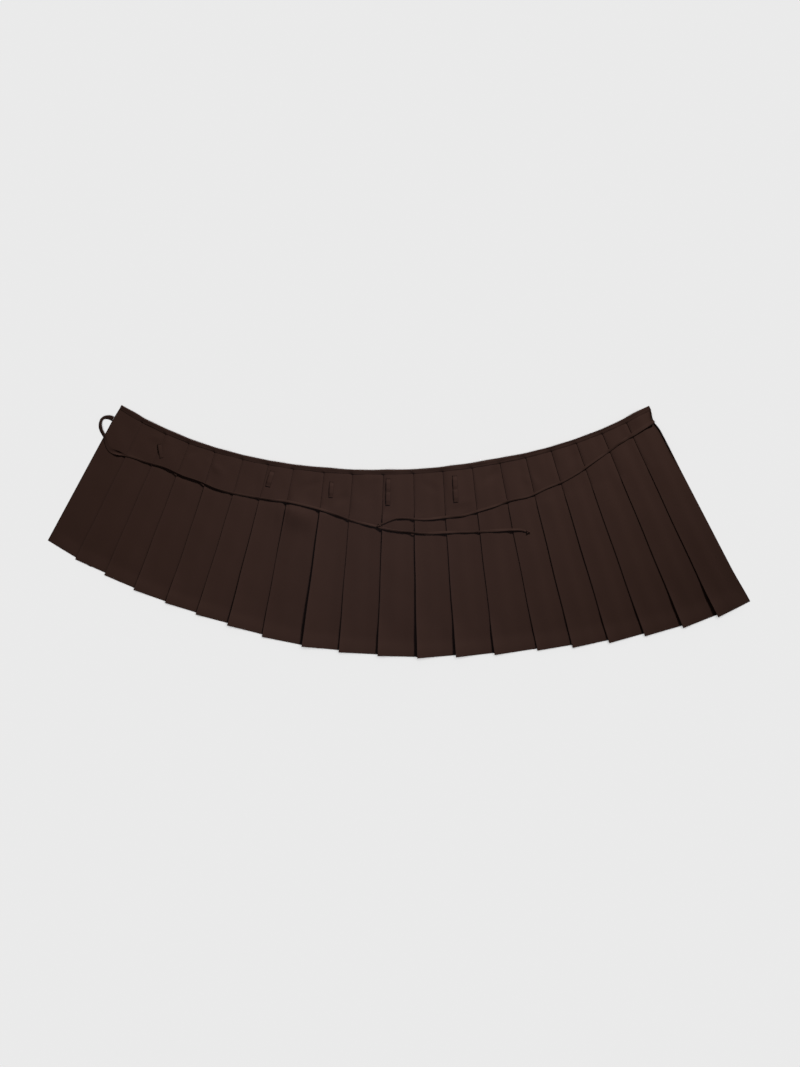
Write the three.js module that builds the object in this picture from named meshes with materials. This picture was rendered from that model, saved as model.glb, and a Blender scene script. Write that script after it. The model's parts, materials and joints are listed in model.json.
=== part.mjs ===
// A pleated wrap skirt of dark suiting, opened out and laid face up on a flat surface.
// Millimetres, +Z up, +X along the laid-out skirt, +Y towards the waist. The skirt rests on z = 0,
// with the origin under the middle of its outline.
import * as THREE from 'three';

// Cloth and seams.
const CLOTH = 1.1; // one ply of the suiting
const PLY_GAP = 0.4; // air between the plies of a pleat
const SEAM_GAP = 0.3; // between two pieces at a seam, and under what lies on a panel

// Knife pleats. The front fold of each lies over the panel to its left.
const UNDERLAY = { waist: 24, hem: 34 }; // from a front fold to the hidden back fold behind it
const SLOPE = { waist: 12, hem: 17 }; // where a panel comes down off its own underlay
const STITCHED = 0.27; // share of the length, from the waist, where the pleats are sewn flat
const OPENING_CURVE = 1.3; // how the front folds lift from there to the hem
const BELLY = { at: 0.4, lift: 0.45 }; // a lifted fold: share of the underlay, share of the lift
const ROWS = [0, STITCHED, 0.43, 0.6, 0.8, 1]; // sections from waist to hem

// The waist edge is a curve whose heading turns from the left end to the right one, in degrees:
// tilt + bend t + skew t^2 + curl t^3, with t from -1 to 1.
const WAIST = { tilt: 0.5, bend: 23.9, skew: -2.0, curl: 7.4 };

// One row for each side edge or front fold, from the left side edge to the right one.
// waist: width at the waist of the panel that starts here. lean: how far the fold leans from
// straight down, in degrees, to the right. length: from waist to hem. drop: how far the fold's
// corner hangs below the hem beside it. open: how far the fold stands up at the hem.
const FOLDS = [
  { waist: 51.8, lean: -27.9, length: 293, drop: 0.0, open: 0.0 },
  { waist: 50.0, lean: -26.1, length: 298, drop: 3.6, open: 0.6 },
  { waist: 46.8, lean: -23.7, length: 301, drop: 4.7, open: 0.6 },
  { waist: 51.0, lean: -20.7, length: 306, drop: 3.8, open: 0.6 },
  { waist: 55.2, lean: -18.2, length: 310, drop: 2.7, open: 0.8 },
  { waist: 48.9, lean: -17.0, length: 316, drop: 3.6, open: 1.0 },
  { waist: 47.9, lean: -14.3, length: 323, drop: 4.3, open: 1.6 },
  { waist: 58.0, lean: -10.7, length: 333, drop: 4.6, open: 1.2 },
  { waist: 53.9, lean: -7.4, length: 343, drop: 2.8, open: 3.5 },
  { waist: 57.8, lean: -4.5, length: 348, drop: 4.2, open: 2.4 },
  { waist: 57.2, lean: -1.9, length: 354, drop: 2.8, open: 3.5 },
  { waist: 55.1, lean: 1.0, length: 359, drop: 2.4, open: 3.8 },
  { waist: 55.8, lean: 4.0, length: 362, drop: 3.8, open: 3.9 },
  { waist: 52.7, lean: 6.7, length: 366, drop: 3.9, open: 3.6 },
  { waist: 49.7, lean: 11.2, length: 371, drop: 3.8, open: 2.5 },
  { waist: 49.5, lean: 13.8, length: 380, drop: 5.9, open: 2.0 },
  { waist: 49.7, lean: 16.7, length: 389, drop: 6.0, open: 2.5 },
  { waist: 51.9, lean: 19.4, length: 398, drop: 5.4, open: 3.1 },
  { waist: 50.2, lean: 22.5, length: 409, drop: 4.9, open: 2.9 },
  { waist: 52.3, lean: 25.0, length: 417, drop: 4.9, open: 3.3 },
  { waist: 0.0, lean: 27.4, length: 418, drop: 0.0, open: 0.0 },
];

// The tape that binds the waist edge, turned down over it to the surface below.
const BINDING = { width: 8, rise: 4, chamfer: 0.5 }; // rise: the run up to each front fold

// Belt loops, flat straps sewn down at both ends. fold: the pleat that each sits on. right: from
// that fold to the loop's middle. down: from the waist edge to its middle. tilt in degrees.
const LOOP = { ply: 1.3, pad: 4, rise: 2.2 };
const LOOPS = [
  { fold: 2, right: 6.5, down: 44, long: 27, wide: 10, tilt: 14 },
  { fold: 6, right: 11.0, down: 38, long: 30, wide: 10, tilt: 6 },
  { fold: 8, right: 16.0, down: 43, long: 31, wide: 11, tilt: 4 },
  { fold: 10, right: 11.5, down: 40, long: 50, wide: 11, tilt: 1 },
  { fold: 12, right: 21.0, down: 46, long: 50, wide: 11, tilt: -2 },
];

// Ties: narrow turned tapes, knotted at the free end. Their routes run from the seam to the knot,
// in the skirt's own frame. They lie just above the floor, then on the panels and pleats.
const TIE = { wide: 5, thick: 2, sides: 8, step: 12 };
const KNOT = { long: 6.5, wide: 6, high: 4 };
const TIE_LEFT = [
  [-544, 213.5, 1.1], [-548.5, 215.9, 1.1], [-553.5, 217.2, 1.1], [-559, 216.5, 1.1],
  [-564, 213, 1.1], [-567, 207, 1.1], [-568, 200.5, 1.3], [-567, 194, 1.8],
  [-564, 187, 2.4], [-559.5, 179.5, 2.8], [-556.5, 170, 2.7], [-553, 161, 2.7],
  [-547.5, 153.5, 2.7], [-539, 149.3, 2.9], [-530, 147.5, 4.2], [-520, 145.3, 5.5],
  [-493, 136.5, 5.5], [-469, 129.5, 5.5], [-446, 122.5, 5.5], [-421, 112.5, 5.5],
  [-398, 99.5, 5.5], [-367, 87, 5.5], [-342, 78, 5.5], [-304, 71.5, 5.5],
  [-263, 63.5, 5.5], [-225, 58, 5.5], [-188, 51, 5.5], [-155, 41, 5.5],
  [-124, 34, 5.6], [-94, 22.8, 5.7], [-59, 11.6, 5.8], [-24, 3.8, 5.8],
  [29, -1.5, 5.8], [72, -4.3, 5.8], [114, -1.5, 5.8], [168, 0, 5.8],
  [212, 1.5, 5.8], [230, 2.5, 5.8], [241, 0, 5.8],
];
const TIE_RIGHT = [
  [487.5, 211.2, 2.8], [480, 206.8, 3.1], [469, 200.3, 5.0], [458, 193.5, 5.6],
  [444, 184.5, 5.6], [429, 174, 5.5], [400, 153.5, 5.5], [382, 139.5, 5.5],
  [353, 118, 5.5], [314, 98, 5.5], [283, 83, 5.5], [259, 72, 5.5],
  [234, 65, 5.5], [205, 55.5, 5.6], [181, 45, 5.7], [144, 34.5, 5.7],
  [117, 30.5, 5.7], [90, 25, 5.7], [69, 22, 5.7], [48, 22.3, 5.7],
  [27, 23.6, 5.7], [6, 25.1, 5.7], [-7, 24.3, 5.7], [-20, 20, 5.7], [-33, 14, 5.7],
];

const degrees = THREE.MathUtils.degToRad;
const mix = THREE.MathUtils.lerp;
const suiting = (color) => new THREE.MeshStandardMaterial({ color, roughness: 0.82, metalness: 0 });
const COLOUR = { cloth: 0x37261f, binding: 0x33221d, trim: 0x3a2823 };

// Where each side edge or fold starts on the waist edge, and which way it runs to the hem.
function layOutFolds() {
  const total = FOLDS.reduce((sum, fold) => sum + fold.waist, 0);
  const start = new THREE.Vector2(0, 0);
  let along = 0;
  return FOLDS.map((fold) => {
    const lean = degrees(fold.lean);
    const down = new THREE.Vector2(Math.sin(lean), -Math.cos(lean));
    const placed = { ...fold, start: start.clone(), down };
    const t = (2 * along + fold.waist) / total - 1;
    const heading = degrees(WAIST.tilt + WAIST.bend * t + WAIST.skew * t ** 2 + WAIST.curl * t ** 3);
    start.add(new THREE.Vector2(Math.cos(heading), Math.sin(heading)).multiplyScalar(fold.waist));
    along += fold.waist;
    return placed;
  });
}

const folds = layOutFolds();
const PANELS = folds.length - 1;
const EDGE_INSET = CLOTH + SEAM_GAP; // the pleated cloth ends this far inside the bound edge
const LAYER = CLOTH + PLY_GAP;
const CREST = 2 * LAYER + CLOTH; // the upper face of a pleat's three plies

// A point on a fold line, v = 0 at the cloth's upper edge and 1 at the hem.
function foldPoint(fold, v, shortened) {
  const reach = mix(EDGE_INSET, fold.length - shortened, v);
  return fold.start.clone().addScaledVector(fold.down, reach);
}

// The row of one panel at v: its left end, its width and the direction across it.
function panelRow(panel, v) {
  const left = foldPoint(folds[panel], v, 0);
  const right = foldPoint(folds[panel + 1], v, folds[panel + 1].drop);
  const across = right.clone().sub(left);
  return { left, width: across.length(), across: across.normalize() };
}

function onRow(row, distance, z) {
  return [row.left.x + row.across.x * distance, row.left.y + row.across.y * distance, z];
}

function foldLift(fold, v) {
  const share = Math.max(0, (v - STITCHED) / (1 - STITCHED));
  return fold.open * share ** OPENING_CURVE;
}

// One section through the whole pleated cloth: pairs of points on its face and its back.
// From each panel the cloth runs on under the next one to a back fold, returns to that panel's
// front fold as the middle ply, turns over it and comes down to the surface again.
function clothSection(v) {
  const half = CLOTH / 2;
  const depth = mix(UNDERLAY.waist, UNDERLAY.hem, v);
  const slope = mix(SLOPE.waist, SLOPE.hem, v);
  const pairs = [];
  const add = (faceRow, face, faceZ, backRow, back, backZ) => {
    pairs.push({ face: onRow(faceRow, face, faceZ), back: onRow(backRow, back, backZ) });
  };
  let row = panelRow(0, v);
  add(row, 0, CLOTH, row, 0, 0);
  for (let panel = 1; panel < PANELS; panel += 1) {
    const next = panelRow(panel, v);
    const backFold = row.width + depth;
    const lift = foldLift(folds[panel], v);
    const belly = depth * BELLY.at;
    const bellyLift = lift * BELLY.lift;
    const flatEnd = depth + CLOTH;
    add(row, backFold - half, CLOTH, row, backFold + half, 0);
    add(row, backFold - half, LAYER, row, backFold + half, LAYER + CLOTH);
    add(next, belly, LAYER + bellyLift, next, belly, LAYER + CLOTH + bellyLift);
    add(next, 0, LAYER + lift, next, CLOTH, LAYER + CLOTH + lift);
    add(next, 0, CREST + lift, next, CLOTH, 2 * LAYER + lift);
    add(next, belly, CREST + bellyLift, next, belly, 2 * LAYER + bellyLift);
    add(next, flatEnd, CREST, next, flatEnd, 2 * LAYER);
    add(next, depth + slope, CLOTH, next, depth + slope, 0);
    row = next;
  }
  add(row, row.width, CLOTH, row, row.width, 0);
  return pairs;
}

// A closed body from sections of equal length. Each end is capped with a fan from the hub point,
// which sees the whole outline.
function sweptSolid(sections, hub) {
  const size = sections[0].length;
  const positions = sections.flat(2);
  const index = [];
  const quad = (a, b, c, d) => index.push(a, b, c, a, c, d);
  for (let s = 0; s + 1 < sections.length; s += 1) {
    for (let k = 0; k < size; k += 1) {
      const after = (k + 1) % size;
      quad(s * size + k, s * size + after, (s + 1) * size + after, (s + 1) * size + k);
    }
  }
  const last = (sections.length - 1) * size;
  for (let k = 1; k + 1 < size; k += 1) {
    const near = (hub + k) % size;
    const far = (hub + k + 1) % size;
    index.push(hub, far, near);
    index.push(last + hub, last + near, last + far);
  }
  return indexedGeometry(positions, index);
}

function indexedGeometry(positions, index) {
  const geometry = new THREE.BufferGeometry();
  geometry.setAttribute('position', new THREE.Float32BufferAttribute(positions, 3));
  geometry.setIndex(index);
  geometry.computeVertexNormals();
  return geometry;
}

// The pleated cloth: a wall between its face points and its back points.
function pleatedCloth() {
  const sections = ROWS.map(clothSection);
  const size = sections[0].length;
  const count = size * sections.length;
  const positions = [];
  for (const side of ['face', 'back']) {
    for (const section of sections) section.forEach((pair) => positions.push(...pair[side]));
  }
  const index = [];
  const quad = (a, b, c, d) => index.push(a, b, c, a, c, d);
  const face = (row, k) => row * size + k;
  const back = (row, k) => count + row * size + k;
  const hem = sections.length - 1;
  for (let row = 0; row < hem; row += 1) {
    for (let k = 0; k + 1 < size; k += 1) {
      quad(face(row, k), face(row + 1, k), face(row + 1, k + 1), face(row, k + 1));
      quad(back(row, k), back(row, k + 1), back(row + 1, k + 1), back(row + 1, k));
    }
    quad(face(row, 0), back(row, 0), back(row + 1, 0), face(row + 1, 0));
    quad(face(row, size - 1), face(row + 1, size - 1), back(row + 1, size - 1), back(row, size - 1));
  }
  for (let k = 0; k + 1 < size; k += 1) {
    quad(face(0, k), face(0, k + 1), back(0, k + 1), back(0, k));
    quad(face(hem, k), back(hem, k), back(hem, k + 1), face(hem, k + 1));
  }
  return indexedGeometry(positions, index);
}

// The binding's section at one place: a ply over the cloth, turned down over its upper edge.
function bindingSection(panel, distance, clothTop) {
  const row = panelRow(panel, 0);
  const [x, y] = onRow(row, distance, 0);
  const down = folds[panel].down.clone().lerp(folds[panel + 1].down, distance / row.width).normalize();
  const under = clothTop + SEAM_GAP;
  const over = under + CLOTH;
  const edge = -SEAM_GAP;
  const outside = -EDGE_INSET;
  const lower = BINDING.width - EDGE_INSET;
  const profile = [
    [edge, under], [edge, 0], [outside, 0], [outside, over - BINDING.chamfer],
    [outside + BINDING.chamfer, over], [lower, over], [lower, under],
  ];
  return profile.map(([reach, z]) => [x + down.x * reach, y + down.y * reach, z]);
}

function waistBinding() {
  const sections = [bindingSection(0, 0, CLOTH)];
  for (let panel = 1; panel < PANELS; panel += 1) {
    const before = panelRow(panel - 1, 0).width - BINDING.rise;
    sections.push(bindingSection(panel - 1, before, CLOTH));
    sections.push(bindingSection(panel, -SEAM_GAP, CREST));
    sections.push(bindingSection(panel, UNDERLAY.waist + CLOTH, CREST));
    sections.push(bindingSection(panel, UNDERLAY.waist + SLOPE.waist, CLOTH));
  }
  sections.push(bindingSection(PANELS - 1, panelRow(PANELS - 1, 0).width, CLOTH));
  return sweptSolid(sections, 0);
}

// A belt loop from its side profile, drawn along the loop and up, and pulled across its width.
function beltLoop({ fold, right, down, long, wide, tilt }) {
  const half = long / 2;
  const { ply, pad, rise } = LOOP;
  const shoulder = half - pad;
  const profile = new THREE.Shape();
  profile.moveTo(-half, 0);
  profile.lineTo(-shoulder, 0);
  profile.bezierCurveTo(-shoulder * 0.7, rise, -shoulder * 0.5, rise, 0, rise);
  profile.bezierCurveTo(shoulder * 0.5, rise, shoulder * 0.7, rise, shoulder, 0);
  profile.lineTo(half, 0);
  profile.lineTo(half, ply);
  profile.lineTo(shoulder, ply);
  profile.bezierCurveTo(shoulder * 0.7, rise + ply, shoulder * 0.5, rise + ply, 0, rise + ply);
  profile.bezierCurveTo(-shoulder * 0.5, rise + ply, -shoulder * 0.7, rise + ply, -shoulder, ply);
  profile.lineTo(-half, ply);
  const strap = new THREE.ExtrudeGeometry(profile, { depth: wide, curveSegments: 6, bevelEnabled: false });
  strap.translate(0, 0, -wide / 2).rotateX(Math.PI / 2);
  const mesh = new THREE.Mesh(strap, suiting(COLOUR.trim));
  const place = folds[fold];
  const middle = place.start.clone().addScaledVector(place.down, down);
  mesh.position.set(middle.x - place.down.y * right, middle.y + place.down.x * right, CREST + SEAM_GAP);
  mesh.rotation.z = Math.atan2(place.down.y, place.down.x) + degrees(tilt);
  return mesh;
}

// A tie: a flat, rounded section drawn along its route.
function tie(route) {
  const path = new THREE.CatmullRomCurve3(route.map((point) => new THREE.Vector3(...point)));
  const oval = new THREE.EllipseCurve(0, 0, TIE.thick / 2, TIE.wide / 2);
  const section = new THREE.Shape(oval.getPoints(TIE.sides).slice(0, -1));
  const steps = Math.round(path.getLength() / TIE.step);
  return new THREE.ExtrudeGeometry(section, { steps, extrudePath: path, bevelEnabled: false });
}

// The knot past the last point of a route, in line with the tie's end.
function knot(route) {
  const [end, before] = [route.at(-1), route.at(-2)];
  const way = new THREE.Vector3(end[0] - before[0], end[1] - before[1], 0).normalize();
  const ball = new THREE.SphereGeometry(0.5, 12, 8).scale(KNOT.long, KNOT.wide, KNOT.high);
  const mesh = new THREE.Mesh(ball, suiting(COLOUR.trim));
  mesh.rotation.z = Math.atan2(way.y, way.x);
  mesh.position.set(...end).addScaledVector(way, KNOT.long / 2 + SEAM_GAP);
  mesh.position.z += (KNOT.high - TIE.thick) / 2;
  return mesh;
}

function named(name, mesh) {
  mesh.name = name;
  return mesh;
}

const skirt = new THREE.Group();
skirt.add(named('pleated_panel', new THREE.Mesh(pleatedCloth(), suiting(COLOUR.cloth))));
skirt.add(named('waist_binding', new THREE.Mesh(waistBinding(), suiting(COLOUR.binding))));
LOOPS.forEach((loop, k) => skirt.add(named(`belt_loop_${k + 1}`, beltLoop(loop))));

// The cloth is laid out from the left end of the waist, so it moves to put the origin under its
// middle.
const centre = new THREE.Box3().setFromObject(skirt).getCenter(new THREE.Vector3());
skirt.position.set(-centre.x, -centre.y, 0);

const object = new THREE.Group();
object.add(skirt);
object.add(named('tie_left', new THREE.Mesh(tie(TIE_LEFT), suiting(COLOUR.trim))));
object.add(named('tie_right', new THREE.Mesh(tie(TIE_RIGHT), suiting(COLOUR.trim))));
object.add(named('tie_left_knot', knot(TIE_LEFT)));
object.add(named('tie_right_knot', knot(TIE_RIGHT)));

export default object;
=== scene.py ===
import json
import math

import bpy
import numpy as np
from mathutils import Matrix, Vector

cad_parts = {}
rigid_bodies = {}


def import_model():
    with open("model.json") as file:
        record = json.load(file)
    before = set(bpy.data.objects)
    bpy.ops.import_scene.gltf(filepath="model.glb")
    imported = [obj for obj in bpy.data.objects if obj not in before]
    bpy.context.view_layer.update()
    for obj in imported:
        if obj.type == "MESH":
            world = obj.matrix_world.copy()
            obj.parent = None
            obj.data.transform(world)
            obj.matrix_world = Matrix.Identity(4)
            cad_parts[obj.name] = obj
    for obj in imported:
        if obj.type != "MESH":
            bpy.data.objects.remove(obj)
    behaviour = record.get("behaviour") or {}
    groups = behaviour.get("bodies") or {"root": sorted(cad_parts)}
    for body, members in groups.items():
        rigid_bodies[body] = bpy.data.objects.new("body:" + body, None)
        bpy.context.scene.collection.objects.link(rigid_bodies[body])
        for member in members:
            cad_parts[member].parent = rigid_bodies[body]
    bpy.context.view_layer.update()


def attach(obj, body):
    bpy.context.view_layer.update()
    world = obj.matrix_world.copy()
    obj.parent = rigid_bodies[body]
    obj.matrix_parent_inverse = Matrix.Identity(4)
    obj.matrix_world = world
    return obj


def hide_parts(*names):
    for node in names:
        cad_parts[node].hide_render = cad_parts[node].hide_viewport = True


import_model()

scene = bpy.context.scene
mm = 0.001
crispAngle = math.radians(40)  # edges that bend more than this stay crisp
print("frame loaded")

view = {  # straight above the skirt; tall is the stretch of floor seen from top to foot
    "above": 3.6, "middle": (0.0009, -0.0040), "tall": 2.0273, "sensor": 36.0,
}
lensData = bpy.data.cameras.new("camera")
lensData.sensor_width = view["sensor"]
lensData.lens = view["sensor"] * view["above"] / view["tall"]
lensData.clip_end = 200
camera = bpy.data.objects.new("camera", lensData)
camera.location = (*view["middle"], view["above"])
scene.collection.objects.link(camera)
scene.camera = camera
print("camera placed")

skirtPieces = bpy.data.collections.new("skirtPieces")  # what the key light falls on
studioPieces = bpy.data.collections.new("studioPieces")
scene.collection.children.link(skirtPieces)
scene.collection.children.link(studioPieces)


def smooth(x):  # an eased step from 0 to 1
    x = np.clip(x, 0, 1)
    return x * x * (3 - 2 * x)


def blend(a, b, t):
    return a + (b - a) * t


def hump(x, middle, spread):  # a rounded rise to 1
    return np.exp(-((x - middle) / spread) ** 2)


def unit(vectors):  # each one made 1 long
    return vectors / np.maximum(np.linalg.norm(vectors, axis=-1, keepdims=True), 1e-12)


def makePiece(name, points, faces, replaced=(), uv=None, marks=None):
    mesh = bpy.data.meshes.new(name)
    mesh.from_pydata((np.asarray(points) * mm).tolist(), [], [list(f) for f in faces])
    mesh.update()
    if uv is not None:  # one place on the flat cloth for each vertex, in metres
        layer = mesh.uv_layers.new(name="threads")
        corners = np.zeros(len(mesh.loops), np.int32)
        mesh.loops.foreach_get("vertex_index", corners)
        layer.uv.foreach_set("vector", (np.asarray(uv) * mm)[corners].astype(np.float32).ravel())
    for mark, values in (marks or {}).items():  # a number for each vertex, which the finish reads
        layer = mesh.attributes.new(mark, "FLOAT", "POINT")
        layer.data.foreach_set("value", np.asarray(values, np.float32))
    mesh.shade_smooth()
    mesh.set_sharp_from_angle(angle=crispAngle)
    piece = bpy.data.objects.new(name, mesh)
    skirtPieces.objects.link(piece)
    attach(piece, "root")
    if replaced:
        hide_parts(*replaced)
    return piece


# Faces between neighbours in a grid of points that are kept row by row.
def gridFaces(rows, columns, first=0, flip=False):
    faces = []
    for i in range(rows - 1):
        for j in range(columns - 1):
            a = first + i * columns + j
            quad = (a, a + columns, a + columns + 1, a + 1)
            faces.append(quad[::-1] if flip else quad)
    return faces


# Faces along a tube of rings, each with as many points as around says.
def ringFaces(rings, around):
    faces = []
    for i in range(rings - 1):
        for j in range(around):
            k = (j + 1) % around
            faces.append((i * around + j, i * around + k, (i + 1) * around + k, (i + 1) * around + j))
    faces.append(tuple(range(around))[::-1])  # both ends are closed
    faces.append(tuple(range((rings - 1) * around, rings * around)))
    return faces


# A smooth line through the points, with an even step and x, y, z for each place along it.
def splineThrough(points, spacing):
    perSpan = 24
    points = np.array(points, float)
    padded = np.vstack([2 * points[0] - points[1], points, 2 * points[-1] - points[-2]])
    knots = np.concatenate([[0], np.cumsum(np.linalg.norm(np.diff(padded, axis=0), axis=1) ** 0.5)])
    line = []
    for i in range(1, len(padded) - 2):
        p, t = padded[i - 1:i + 3], knots[i - 1:i + 3]
        s = np.linspace(t[1], t[2], perSpan, endpoint=i == len(padded) - 3)[:, None]
        a = [((t[k + 1] - s) * p[k] + (s - t[k]) * p[k + 1]) / (t[k + 1] - t[k]) for k in range(3)]
        b = [((t[k + 2] - s) * a[k] + (s - t[k]) * a[k + 1]) / (t[k + 2] - t[k]) for k in range(2)]
        line.append(((t[2] - s) * b[0] + (s - t[1]) * b[1]) / (t[2] - t[1]))
    line = np.vstack(line)
    along = np.concatenate([[0], np.cumsum(np.linalg.norm(np.diff(line, axis=0), axis=1))])
    count = int(round(along[-1] / spacing)) + 1
    even = np.linspace(0, along[-1], count)
    return np.stack([np.interp(even, along, line[:, c]) for c in range(3)], 1), even


# The cut and lie of the pleats, which the ties, binding and loops rest on. Lengths are in mm.
pleats = {
    "start": (-529.274, 240.747),  # left end of the waist edge
    "heading": (0.5, 23.9, -2.0, 7.4),  # the waist edge's turn: tilt, bend, skew, curl
    "inset": 1.4,  # the cloth ends this far inside the bound edge
    "ply": 0.5,
    "tuckedUp": 2.4,  # how far the hidden plies stay above the hem
    "underlay": (24.0, 34.0),  # at the waist and at the hem, as the next ones
    "slope": (12.0, 17.0),
    "valley": (1.6, 0.45),  # how high a panel lies before it goes under the next
    "gap": (0.55, 0.8),  # between the plies of a pleat, in the stitched part and below it
    "stitched": 0.235,  # share of the length, from the waist, sewn flat
    "letGo": (0.015, 0.05),  # the pleats start to open this much above its end, over this share
    "groove": (0.4, 5.0),  # how far the cloth is drawn down at each stitched fold, and over what width
    "turned": 2.4,  # how much painted shade darkens the turned side edges
    "hemCurl": (1.7, 4.2),  # at the left end and at the right one
    "hemCurlRun": (0.9, 0.1),  # where it starts, and over what share of the length it rises
    "ripple": (0.8, 0.26),  # in the stitched part and below it
    "quiet": 9.0,  # ripples and creases fade out this near to a fold
    "stray": (0.25, 17.0),  # how far a fold strays sideways, and how quickly it turns
    "edgeRun": (30.0, 26.0),  # width over which the cloth rises at the left edge and sinks at the right one
    "lip": (16.0, 4.0),  # width of a fold's raised lip, and what each millimetre of lift adds to it
    "hiddenGroove": 0.3,  # share of the groove that the plies underneath take
    "meanLength": 360.0,  # for the run of the threads
    "clear": 0.02,  # the underside lies this far above the floor
}
lowest = pleats["ply"] / 2 + 0.05  # middle of a ply that lies on the floor
# Width at the waist, lean, length, drop of the corner and bow of each pleat, then how far its folded
# edge stands up where the stitching ends, halfway down, at four fifths and at the hem.
folds = [
    (51.8, -27.9, 293, 0.0, 0.0, 0.0, 0.0, 0.0, 0.0),
    (50.0, -26.1, 298, 3.6, 0.0, 0.0, 0.0, 0.2, 0.5),
    (46.8, -23.7, 301, 4.7, -1.0, 0.0, 0.0, 0.3, 1.0),
    (51.0, -20.7, 306, 3.8, -0.8, 1.0, 0.5, 1.8, 4.4),
    (55.2, -18.2, 310, 2.7, 1.6, 1.8, 0.5, 1.5, 5.4),
    (48.9, -17.0, 316, 3.6, 1.4, 0.8, 0.9, 1.4, 4.8),
    (47.9, -14.3, 323, 4.3, -0.2, 0.8, 3.0, 4.6, 8.2),
    (58.0, -10.7, 333, 4.6, -1.0, 3.6, 0.3, 1.6, 3.4),
    (53.9, -7.4, 342, 2.8, 1.2, 2.9, 5.2, 8.8, 10.0),
    (57.8, -4.5, 348, 4.2, -0.8, 0.0, 0.3, 1.9, 4.8),
    (57.2, -1.9, 353, 2.8, 0.6, 1.9, 1.0, 2.0, 6.8),
    (55.1, 1.0, 359, 2.4, -0.6, 0.9, 2.3, 4.3, 9.0),
    (55.8, 4.0, 362, 3.8, -1.2, 0.3, 0.8, 2.0, 7.6),
    (52.7, 6.7, 366, 3.9, -0.3, 0.4, 0.3, 0.2, 5.0),
    (49.7, 11.2, 371, 3.8, -0.8, 0.3, 0.0, 0.4, 2.0),
    (49.5, 13.8, 380, 5.9, -0.6, 0.2, 0.8, 0.8, 2.8),
    (49.7, 16.7, 389, 6.0, 0.6, 0.1, 0.8, 0.4, 2.8),
    (51.9, 19.4, 397, 5.4, 0.3, 0.0, 0.3, 0.5, 3.3),
    (50.2, 22.5, 408, 4.9, 0.4, 0.1, 0.3, 0.9, 4.4),
    (52.3, 25.0, 416, 4.9, -0.6, 0.0, 0.3, 0.9, 6.0),
    (0.0, 27.4, 418, 0.0, 0.0, 0.0, 0.0, 0.0, 0.0),
]
# Shares of the length for those lifts: they start at the first one and hold over the last two.
liftStops = (pleats["stitched"] - 0.03, pleats["stitched"] + 0.02, 0.55, 0.8, 0.95, 1.0)
# The two side edges: the left one flares a little, the right one hangs slack, is pinched where its tie
# is sewn on and curls up.
sideEdges = {
    "flare": 2.2, "nip": (1.5, 0.06),  # how far the left edge is drawn in at the waist, and over what share
    "pinch": 3.7, "pinchAt": (30.0, 12.0),  # how far down the edge and how far round that
    "slack": 2.6, "slackFrom": 22.0, "slackFade": 75.0,  # from the waist, and before the hem
    "curl": 3.3, "curlRun": 3.4, "curlStart": 8.0, "curlEnds": 150.0, "curlFade": 80.0,
}
# Soft dents and ridges: x, y, length, width, way they run in degrees, height.
creases = [
    (-165, 89, 24, 7, 20, -1.3),
    (-108, 62, 22, 8, 25, -1.3),
    (-42, 102, 30, 7, 12, 0.9),
    (178, 108, 36, 9, 35, -1.4),
    (-190, 30, 44, 34, -12, 4.8),
    (-534, 178, 24, 7, 60, 0.9),
    (452, 214, 30, 8, 25, 0.8),
    (-350, 122, 26, 8, -40, 1.1),
    (-395, 150, 20, 7, 30, -1.0),
    (-300, 110, 18, 7, 70, -1.0),
    (-455, 176, 26, 9, -15, 1.0),
    (60, 84, 24, 9, -30, -0.9),
    (330, 140, 26, 8, 60, -1.0),
    (-60, 52, 22, 8, 70, 0.9),
    (120, 56, 26, 9, 15, 0.8),
    (250, 96, 22, 8, -25, 1.0),
]

rows = np.unique(np.round(np.concatenate([  # shares of the length, closest where the stitching ends
    np.linspace(0, 0.19, 13), np.linspace(0.19, 0.29, 12),
    np.linspace(0.29, 0.9, 34), np.linspace(0.9, 1, 10),
]), 5))
panels = len(folds) - 1
waistLength = sum(f[0] for f in folds)


# Where each fold starts on the waist edge, and the way it runs down from there.
def layOutFolds():
    placed, along = [], 0.0
    start = np.array(pleats["start"])
    tilt, bend, skew, curl = pleats["heading"]
    for waist, lean, *_ in folds:
        lean = math.radians(lean)
        placed.append((start.copy(), np.array([math.sin(lean), -math.cos(lean)])))
        t = (2 * along + waist) / waistLength - 1
        heading = math.radians(tilt + bend * t + skew * t ** 2 + curl * t ** 3)
        start = start + waist * np.array([math.cos(heading), math.sin(heading)])
        along += waist
    return placed


foldStarts = layOutFolds()


# How far a fold or side edge strays sideways from a straight line.
def sway(k, v, reach):
    if k == 0:
        nip, spread = sideEdges["nip"]
        return nip * hump(v, 0, spread) - sideEdges["flare"] * v
    if k == panels:
        slack = sideEdges["slack"] * smooth(reach / sideEdges["slackFrom"])
        slack = slack * smooth((folds[k][2] - reach) / sideEdges["slackFade"])
        return -slack - sideEdges["pinch"] * hump(reach, *sideEdges["pinchAt"])
    far, often = pleats["stray"]
    return folds[k][4] * 4 * v * (1 - v) + far * np.sin(v * often + k * 2.1) * smooth(v * 6)


# Points of fold k on the floor plan, one for each share of its length.
def foldLine(k, v, shortened=0.0):
    start, down = foldStarts[k]
    reach = blend(pleats["inset"], folds[k][2] - shortened, v)
    right = np.array([-down[1], down[0]])
    return start + reach[:, None] * down + sway(k, v, reach)[:, None] * right


# Panel k at each share of the length: its left end, the way across and its width.
def panelRow(k, v):
    left = foldLine(k, v)
    right = foldLine(k + 1, v, folds[k + 1][3])
    across = right - left
    width = np.linalg.norm(across, axis=1)
    return left, across / width[:, None], width


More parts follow.
